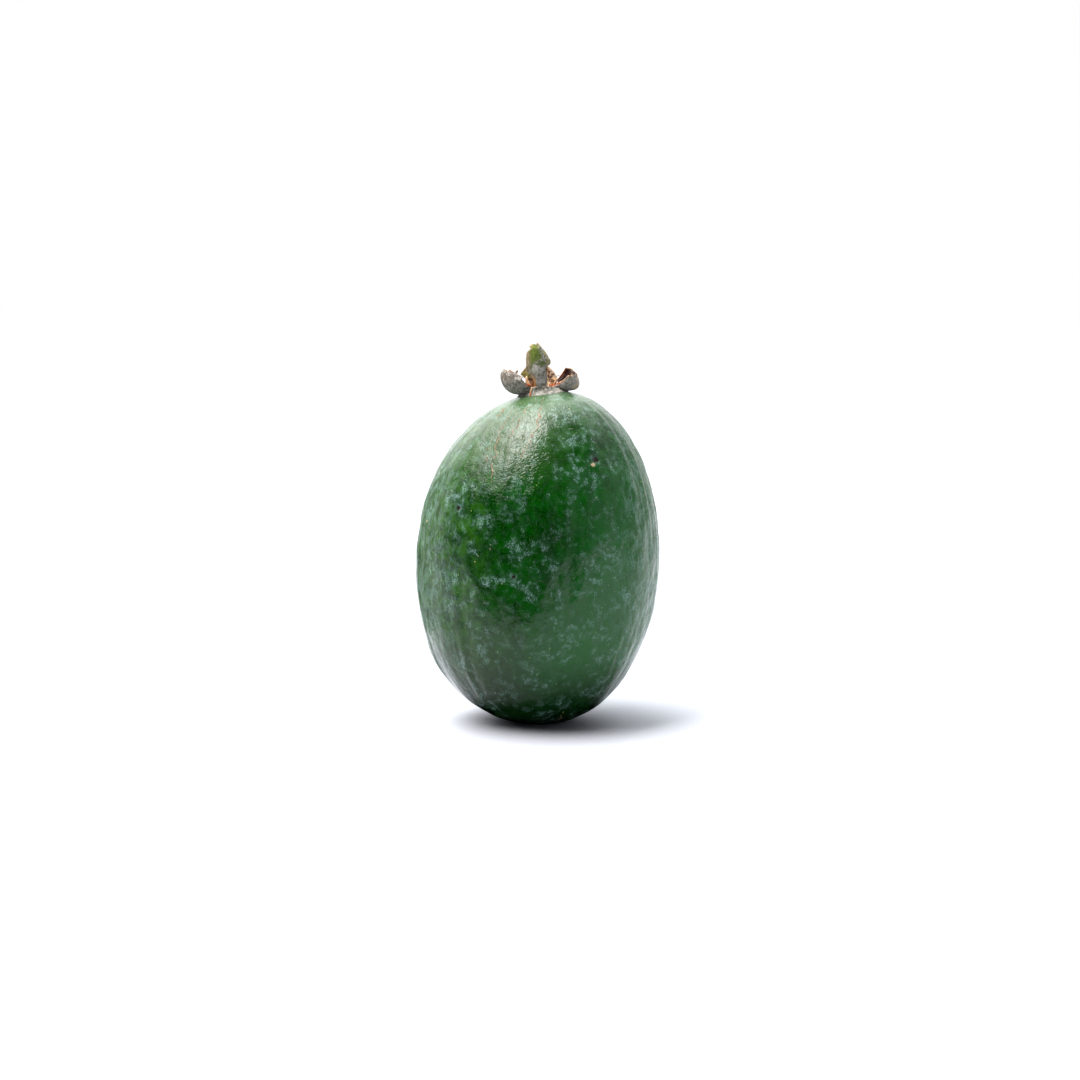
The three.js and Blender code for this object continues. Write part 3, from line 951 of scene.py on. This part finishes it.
def skin_bloom(nodes, skin, place, height, aside, lengthwise):
    """How thick the waxy bloom lies: in clumped patches, and in streaks and dashes on the flanks."""
    ramp = nodes.ramp
    streaks = nodes.noise(lengthwise, 0.7, 4.0, 0.55, 0.3)
    streaks = nodes.times(ramp(streaks, 0.56, 0.74), ramp(nodes.noise(lengthwise, 0.16, 2.0), 0.42, 0.66))
    patches = nodes.patches(place, 1.2, 0.18, skin.bloom_cover, 0.1)
    clouds = nodes.patches(place, 3.0, 0.22, 0.42, 0.07)
    dashes = nodes.patches(nodes.vector("MULTIPLY", place, (1, 1, 0.5)), 1.1, 0.22, 0.45, 0.08)
    zones = nodes.fit(ramp(nodes.noise(place, 0.13, 1.0), 0.4, 0.6), 0.65, 0.35)
    worn = nodes.times(ramp(height, *WORN_TOP), ramp(height, *WORN_BASE))
    zones = nodes.times(zones, nodes.fit(worn, -0.1, 1.0))
    bloom = nodes.times(nodes.math("POWER", patches, 1.5), nodes.fit(clouds, 0.9, 0.1))
    bloom = nodes.times(nodes.fit(clouds, 0.09, bloom), zones)
    flank = ramp(nodes.math("ABSOLUTE", aside), *FLANK_X)
    streaked = nodes.math("MAXIMUM", flank, ramp(height, *STREAKED_Z))
    bloom = nodes.fit(streaks, nodes.fit(streaked, 0.3, 0.07), bloom)
    return nodes.fit(nodes.times(dashes, flank), 0.4, bloom)


def skin_material(form, skin):
    material, nodes, shader = new_material("feijoa_skin", IOR=1.37)
    ramp = nodes.ramp
    place = nodes.place()
    aside, height = nodes.axis(place, "X"), nodes.axis(place, "Z")
    flat = nodes.vector("NORMALIZE", nodes.vector("MULTIPLY", place, (1, 1, 0)))
    girth, upwards = nodes.scaled(flat, 22.0), nodes.vector("MULTIPLY", place, (0, 0, 1))
    lengthwise = nodes.vector("MULTIPLY_ADD", upwards, (0, 0, 0.24), girth)
    crossways = nodes.vector("MULTIPLY_ADD", upwards, (0, 0, 2.0), girth)

    # The greens, then the film, painted shade towards the floor and the bloom over them.
    middling = nodes.noise(place, 0.45, 4.0, 0.6)
    lighter = nodes.fit(middling, 0.9, nodes.times(nodes.noise(place, 0.07, 2.0), 0.7))
    fresh = ramp(nodes.fit(height, -0.5, aside), *FRESH_X)
    cheek = nodes.times(ramp(aside, *CHEEK_X), ramp(lighter, 0.6, 0.9))
    crown = nodes.times(ramp(height, *CROWN_Z), ramp(aside, *CROWN_X))
    foot = nodes.times(ramp(height, *FOOT_Z), ramp(aside, *FOOT_X))
    sunlit = nodes.math("MAXIMUM", nodes.math("MAXIMUM", cheek, crown), nodes.times(foot, 0.6))
    film = nodes.times(ramp(nodes.jittered(height, middling, 30.0), *FILM_Z), 0.05)
    bloom = skin_bloom(nodes, skin, place, height, aside, lengthwise)
    dots = nodes.add("TexVoronoi", {"Vector": place, "Scale": 0.85, "Randomness": 1.0}).outputs
    rare = ramp(nodes.axis(dots["Color"], "X"), 0.7, 0.98)
    colour = nodes.layered(
        skin.deep,
        (skin.leaf, ramp(lighter, 0.66, 0.98)),
        (skin.fresh, fresh, 0.8),
        (skin.olive, sunlit, 0.9),
        (skin.lime, ramp(middling, 0.46, 0.6), ramp(aside, *MOTTLED_X), ramp(height, *MOTTLED_Z), 0.6),
        (skin.gland, ramp(nodes.noise(place, 3.4, 1.0), 0.55, 0.72), 0.035),
        (skin.film, nodes.fit(ramp(height, *CALYX_FILM_Z), 0.14, film)),
        # Painted shade: darker towards the floor.
        (skin.shade, ramp(height, *PAINTED_SHADE_Z), 0.8),
        (skin.bloom, nodes.math("MULTIPLY", bloom, 0.46, clamp=True)),
        (skin.gland, ramp(dots["Distance"], 0.13, 0.06), rare, 0.55),
    )

    # Marks that lie on top of it.
    for bearing, share, radius, _ in PITS:
        spot = nodes.spot(place, form, bearing, share, radius)
        colour = nodes.layered(colour, (skin.bloom, spot["Rim"], 0.04), (skin.pit, spot["Core"]))
    for bearing, share, radius in TAN_SPOTS:
        spot = nodes.spot(place, form, bearing, share, radius)
        colour = nodes.layered(colour, (skin.tan, spot["Core"], 0.85))
    scar = ramp(nodes.reading("LENGTH", nodes.vector("MULTIPLY", place, (1, 1, 0.6))), *SCAR_EDGE)
    nodes.set(shader["Base Color"], nodes.mix(scar, colour, skin.cork))
    gloss = nodes.math("MULTIPLY_ADD", scar, 0.4, nodes.fit(bloom, 0.1, 0.1), clamp=True)
    nodes.set(shader["Roughness"], gloss)

    pebbles = nodes.group("Pebbles", Vector=place, Size=1.05, Grain=0.24)["Height"]
    wrinkles = nodes.math("SUBTRACT", nodes.noise(crossways, 1.35, 1.0, 0.5, 0.7), 0.5)
    puckered = nodes.fit(ramp(height, *PUCKERED_Z), -0.95, -0.5)
    surface = nodes.fit(nodes.math("ABSOLUTE", wrinkles), puckered, nodes.times(pebbles, 0.62))
    nodes.set(shader["Normal"], nodes.bump(surface, 0.09 * MM))
    return material


def felt_material(calyx):
    """Outer faces are grey felt, inner ones dried brown, rims tan, and torn roots rust."""
    material, nodes, shader = new_material("calyx_felt", Specular_IOR_Level=0.25)
    ramp = nodes.ramp
    place = nodes.place()
    inner, rim, along, across, green, dried = (
        nodes.attribute(name) for name in ("inner", "rim", "along", "across", "green", "dried")
    )
    tufts = nodes.noise(place, 4.5, 3.0, 0.65)
    cloud = nodes.noise(place, 0.62, 2.0, 0.5)
    middling = nodes.noise(place, 0.8, 3.0, 0.6)
    veins = nodes.noise(place, 1.4, 3.0, 0.6, 0.6)
    mottle = nodes.patches(place, 1.25, 0.4, 0.62, 0.12)
    front, driest, upper = ramp(green, 0.7, 0.9), ramp(dried, 0.6, 0.9), ramp(along, 0.36, 0.5)

    # The outer faces: living green in the middle of the front sepal, with stains beside it.
    beside = nodes.math("ABSOLUTE", nodes.math("ADD", across, 0.3))
    aside = nodes.jittered(nodes.math("ABSOLUTE", nodes.math("ADD", across, 0.12)), cloud, 1.4)
    reach = ramp(nodes.jittered(along, middling, 0.9), 0.48, 0.7)
    leafy = nodes.layered(calyx.green, (calyx.moss, ramp(tufts, 0.62, 0.4), 0.45))
    withered = nodes.times(ramp(along, 0.5, 0.85), ramp(middling, 0.25, 0.45), ramp(green, 0.9, 0.6), 0.9)
    gilded = nodes.times(front, ramp(along, 0.5, 0.62), ramp(across, 0.5, 0.8), ramp(middling, 0.42, 0.54))
    outer = nodes.layered(
        calyx.felt,
        (calyx.felt_dark, mottle, 0.8),
        (calyx.moss, ramp(cloud, 0.5, 0.66), ramp(tufts, 0.66, 0.4), ramp(rim, 0.9, 0.4), 0.8),
        (calyx.felt, ramp(tufts, 0.52, 0.68), 0.5),
        (calyx.withered, withered, ramp(tufts, 0.68, 0.46)),
        (calyx.felt, driest, ramp(cloud, 0.66, 0.5), 0.85),
        (calyx.edge, driest, ramp(beside, 0.2, 0.08), ramp(along, 0.35, 0.6), 0.7, ramp(tufts, 0.36, 0.5)),
        (leafy, reach, ramp(green, 0.1, 0.9), ramp(aside, 0.7, 0.3)),
        # Brown-olive on the front sepal's folded-back left edge: its colour, partly painted shade.
        (calyx.olive, ramp(across, -0.3, -0.6), upper, front, ramp(tufts, 0.3, 0.5), 0.9),
        (calyx.yellow, ramp(along, 0.86, 0.97), front, ramp(middling, 0.35, 0.5), 0.3),
        (calyx.moss, front, upper, ramp(across, -0.05, 0.25), 0.7, ramp(tufts, 0.56, 0.44)),
        (calyx.yellow, gilded, 0.7),
        (calyx.amber, ramp(across, -0.1, -0.5), ramp(along, 0.46, 0.28), front, 0.85),
    )

    # The inner faces, with painted light shining through one thin edge, then the rims and roots of both.
    lit = nodes.times(ramp(across, 0.3, 0.6), ramp(along, 0.45, 0.7), ramp(green, 0.2, 0.5))
    inside = nodes.layered(
        calyx.inside,
        (calyx.inside_pale, ramp(veins, 0.4, 0.56), ramp(dried, 1.0, 0.3)),
        (calyx.inside_mauve, ramp(middling, 0.45, 0.57), ramp(rim, 0.1, 0.5), 0.85),
        # Painted light shining through the thin edge, with some green.
        (calyx.painted_backlight, lit),
        (calyx.green, lit, ramp(middling, 0.46, 0.6), 0.45),
    )
    scorched = nodes.mix(ramp(veins, 0.46, 0.56), calyx.edge, calyx.edge_dark)
    colour = nodes.layered(
        outer,
        (inside, inner),
        (scorched, ramp(rim, 0.82, 0.99), ramp(middling, 0.42, 0.54), 0.85),
        (calyx.rust, ramp(along, 0.3, 0.08), ramp(rim, 0.55, 0.95), ramp(veins, 0.38, 0.5)),
    )
    nodes.set(shader["Base Color"], colour)
    nodes.set(shader["Roughness"], nodes.fit(inner, -0.3, 0.95))
    nodes.set(shader["Normal"], nodes.bump(nodes.fit(mottle, -0.6, nodes.times(tufts, 1.2)), 0.09 * MM))
    return material


def torn_material(calyx):
    """Torn scraps: rust where they broke off, and cream to brown above."""
    material, nodes, shader = new_material("torn_tissue", Roughness=0.7)
    place = nodes.place()
    patches = nodes.patches(place, 0.7, 0.2, 0.5, 0.12)
    reach = nodes.fit(patches, 0.25, nodes.attribute("along"))
    colour = nodes.layered(
        calyx.edge,
        (calyx.edge_dark, patches),
        (calyx.rust, nodes.ramp(reach, 0.7, 0.3)),
        (calyx.ember, nodes.ramp(nodes.attribute("dried"), 0.6, 0.9)),
    )
    nodes.set(shader["Base Color"], colour)
    nodes.set(shader["Normal"], nodes.bump(nodes.noise(place, 7.0, 2.0), 0.05 * MM))
    return material


def hair_material(calyx):
    material, nodes, shader = new_material("felt_hair", Roughness=0.8, Specular_IOR_Level=0.3)
    shade = nodes.ramp(nodes.noise(nodes.place(), 1.4, 2.0), 0.4, 0.65)
    nodes.set(shader["Base Color"], nodes.mix(shade, calyx.hair, calyx.felt_dark))
    return material


def dried_material(name, first, second, size):
    """Brown dried tissue with fine grain."""
    material, nodes, shader = new_material(name, Roughness=0.75)
    place = nodes.place()
    nodes.set(shader["Base Color"], nodes.mix(nodes.patches(place, size, 0.15, 0.5, 0.15), first, second))
    nodes.set(shader["Normal"], nodes.bump(nodes.noise(place, 8.0, 2.0), 0.03 * MM))
    return material


# ---- Studio ----


def floor_material():
    """Matt white that fades into the white room far from the fruit."""
    material, nodes, shader = new_material("studio_floor", Roughness=0.7, Specular_IOR_Level=0.2)
    place = nodes.add("TexCoord").outputs["Object"]
    grain = nodes.ramp(nodes.noise(place, 900.0, 2.0), 0.3, 0.7)
    nodes.set(shader["Base Color"], nodes.mix(grain, *FLOOR_COLOURS))
    share = nodes.ramp(nodes.reading("LENGTH", place), *FLOOR_FADE)
    white = nodes.add("Emission", {"Color": WHITE, "Strength": 1.0}).outputs[0]
    lit = nodes.find("BSDF_PRINCIPLED").outputs[0]
    fade = nodes.add("MixShader", {0: share, 1: lit, 2: white}).outputs[0]
    nodes.set(nodes.find("OUTPUT_MATERIAL").inputs["Surface"], fade)
    return material


def oval(middle, first, second, sides=48):
    """Corners of a flat oval from its middle and its two half axes."""
    turns = np.linspace(0, FULL_TURN, sides, endpoint=False)
    return [Vector(middle) + Vector(first) * math.cos(t) + Vector(second) * math.sin(t) for t in turns]


def flat_object(name, corners, material):
    mesh = new_mesh(name, corners, [range(len(corners))])
    made = make_object(mesh, material, smooth=False)
    return made


def dark_card(name, corners, shade=BLACK):
    """A matt dark card that only shows in gloss: it stands for what is unlit in a studio."""
    material = new_material(name, Base_Color=shade, Roughness=1.0, Specular_IOR_Level=0.0)[0]
    card = flat_object(name, corners, material)
    for rays in ("camera", "diffuse", "shadow", "transmission"):
        setattr(card, "visible_" + rays, False)
    return material


def fade_rim(material, none, full):
    """Fade a round card out between two radii in millimetres."""
    nodes = Nodes(material.node_tree)
    away = nodes.reading("LENGTH", nodes.place())
    nodes.set(nodes.find("BSDF_PRINCIPLED").inputs["Alpha"], nodes.ramp(away, none, full))


def facing(nodes, way, centre):
    """Cosine of the angle between a direction and a light's centre."""
    return nodes.reading("DOT_PRODUCT", way, Vector(centre).normalized())


def softbox_share(nodes, way):
    """A square softbox at the upper left: its edge towards the camera is sharp and its others fade."""
    ahead = facing(nodes, way, SOFTBOX_MIDDLE)
    near = nodes.math("DIVIDE", facing(nodes, way, SOFTBOX_NEAR), ahead)
    aside = nodes.math("DIVIDE", facing(nodes, way, SOFTBOX_ASIDE), ahead)
    shares = [nodes.ramp(near, *edge) for edge in SOFTBOX_NEAR_EDGES]
    shares += [nodes.ramp(aside, *edge) for edge in SOFTBOX_ASIDE_EDGES]
    return nodes.times(*shares, nodes.ramp(ahead, *SOFTBOX_AHEAD))


def build_world(stage):
    """A white room whose side behind the camera is unlit, and pure white where the camera sees it."""
    world = bpy.data.worlds.new("studio_room")
    world.use_nodes = True
    bpy.context.scene.world = world
    world.node_tree.nodes.clear()
    nodes = Nodes(world.node_tree)
    ramp = nodes.ramp
    way = nodes.add("TexCoord").outputs["Generated"]
    axes = nodes.add("SeparateXYZ", {0: way}).outputs
    bearing = nodes.math("DEGREES", nodes.math("ARCTAN2", axes["X"], nodes.times(axes["Y"], -1.0)))
    rise = nodes.math("DEGREES", nodes.math("ARCSINE", axes["Z"]))
    unlit = nodes.times(ramp(bearing, *UNLIT_LEFT), ramp(bearing, *UNLIT_RIGHT), ramp(rise, *UNLIT_TOP))
    panel = nodes.times(ramp(bearing, *PANEL_LEFT), ramp(rise, *PANEL_TOP))
    dark = nodes.mix(panel, UNLIT_WALL, PANEL_WALL)
    walls = nodes.mix(unlit, [stage.room * c for c in WALL_TINT] + [1], dark)
    key = nodes.scaled([stage.key * c for c in KEY_TINT], softbox_share(nodes, way))
    above = nodes.math("MAXIMUM", facing(nodes, way, OVERHEAD_MIDDLE), 0.0)
    glow = nodes.math("POWER", above, OVERHEAD_FOCUS)
    overhead = nodes.scaled([stage.overhead * c for c in OVERHEAD_TINT], glow)
    sky = nodes.vector("ADD", nodes.vector("ADD", walls, key), overhead)
    lit, white = (nodes.add("Background", {"Color": c, "Strength": 1.0}).outputs[0] for c in (sky, WHITE))
    seen = nodes.add("LightPath").outputs["Is Camera Ray"]
    both = nodes.add("MixShader", {0: seen, 1: lit, 2: white}).outputs[0]
    nodes.add("OutputWorld", {"Surface": both})


def build_camera(stage):
    camera = bpy.data.objects.new("camera", bpy.data.cameras.new("camera"))
    camera.data.lens = stage.lens
    back = Vector((0, -math.cos(stage.elevation), math.sin(stage.elevation)))
    camera.location = Vector(stage.target) + back * stage.distance
    camera.rotation_euler = (-back).to_track_quat("-Z", "Y").to_euler()
    bpy.context.scene.collection.objects.link(camera)
    bpy.context.scene.camera = camera


# ---- Operators ----


def fruit_form(scene):
    return FruitForm(scene.feijoa_body)


def calyx_crown(scene):
    """The calyx's own axes, lifted off its seat by the gap."""
    return fruit_form(scene).crown() @ Matrix.Translation((0, 0, scene.feijoa_calyx.gap))


class FEIJOA_OT_stage(bpy.types.Operator):
    """Set up the camera, the white floor, the room and the lights"""

    bl_idname = "feijoa.stage"
    bl_label = "Set the studio"

    def execute(self, context):
        stage = context.scene.feijoa_stage
        build_camera(stage)
        build_world(stage)
        reach = stage.floor_radius
        flat_object("studio_floor", oval((0, 0, 0), (reach, 0, 0), (0, reach, 0), 96), floor_material())
        dark_card("unlit_floor", [(x, y, UNLIT_FLOOR_HEIGHT) for x, y in UNLIT_FLOOR])
        fade_rim(dark_card("unlit_contact", oval(*CONTACT_OVAL)), *CONTACT_FADE)
        dark_card("unlit_flank", oval(*FLANK_OVAL), FLANK_SHADE)
        context.scene.view_settings.view_transform = "Standard"
        return {"FINISHED"}


class FEIJOA_OT_skin(bpy.types.Operator):
    """Grow the fruit's body with its pebbled, ridged skin and its stem scar"""

    bl_idname = "feijoa.skin"
    bl_label = "Grow the skin"

    def execute(self, context):
        form = fruit_form(context.scene)
        material = skin_material(form, context.scene.feijoa_skin)
        add_piece(skin_mesh(form), material, "fruit")
        return {"FINISHED"}


class FEIJOA_OT_russet(bpy.types.Operator):
    """Draw the raised russet lines that run down from the calyx"""

    bl_idname = "feijoa.russet"
    bl_label = "Draw the russet lines"

    def execute(self, context):
        skin = context.scene.feijoa_skin
        material = dried_material("russet", skin.russet, skin.tan, 0.6)
        add_piece(russet_mesh(fruit_form(context.scene), random.Random(RUSSET_SEED)), material)
        return {"FINISHED"}


class FEIJOA_OT_calyx(bpy.types.Operator):
    """Grow the felted collar, its four sepals, the torn scraps and the felt's hairs"""

    bl_idname = "feijoa.calyx"
    bl_label = "Grow the calyx"

    def execute(self, context):
        calyx = context.scene.feijoa_calyx
        crown = calyx_crown(context.scene)
        meshes = [collar_mesh(fruit_form(context.scene), calyx, crown)]
        for number, blade in enumerate(SEPALS):
            meshes.append(blade_mesh(blade, calyx.sepal_thickness, crown, number + 1))
        felt = felt_material(calyx)
        pieces = [add_piece(mesh, felt, "calyx") for mesh in meshes]
        torn = torn_material(calyx)
        for number, blade in enumerate(SCRAPS):
            mesh = blade_mesh(blade, calyx.scrap_thickness, crown, number + 11, rows=40, columns=21)
            add_piece(mesh, torn, "calyx")
        hairs = hair_mesh(pieces, calyx, random.Random(HAIR_SEED))
        add_piece(hairs, hair_material(calyx))
        return {"FINISHED"}


class FEIJOA_OT_style(bpy.types.Operator):
    """Grow the stub of the style and the dried stamens round it"""

    bl_idname = "feijoa.style"
    bl_label = "Grow the style and stamens"

    def execute(self, context):
        calyx = context.scene.feijoa_calyx
        material = dried_material("dried_stamen", calyx.stamen, calyx.inside, 0.8)
        add_piece(style_mesh(calyx, calyx_crown(context.scene)), material, "calyx")
        return {"FINISHED"}


class FEIJOA_PT_panel(bpy.types.Panel):
    """The feijoa's steps and settings"""

    bl_idname = "FEIJOA_PT_panel"
    bl_label = "Feijoa"
    bl_space_type = "VIEW_3D"
    bl_region_type = "UI"
    bl_category = "Feijoa"

    def draw(self, context):
        for step in STEPS:
            self.layout.operator(step.bl_idname)
        for name, group in SETTINGS.items():
            box = self.layout.box()
            for setting in group.__annotations__:
                box.prop(getattr(context.scene, name), setting)


SETTINGS = {
    "feijoa_body": FeijoaBodySettings,
    "feijoa_skin": FeijoaSkinSettings,
    "feijoa_calyx": FeijoaCalyxSettings,
    "feijoa_stage": FeijoaStageSettings,
}
STEPS = (FEIJOA_OT_stage, FEIJOA_OT_skin, FEIJOA_OT_russet, FEIJOA_OT_calyx, FEIJOA_OT_style)
CLASSES = (*SETTINGS.values(), *STEPS, FEIJOA_PT_panel)


def register():
    for each in CLASSES:
        bpy.utils.register_class(each)
    for name, group in SETTINGS.items():
        setattr(bpy.types.Scene, name, PointerProperty(type=group))


def unregister():
    for name in SETTINGS:
        delattr(bpy.types.Scene, name)
    for each in reversed(CLASSES):
        bpy.utils.unregister_class(each)


def main():
    register()
    bpy.ops.feijoa.stage()
    bpy.ops.feijoa.skin()
    bpy.ops.feijoa.russet()
    bpy.ops.feijoa.calyx()
    bpy.ops.feijoa.style()


if __name__ == "__main__":
    main()
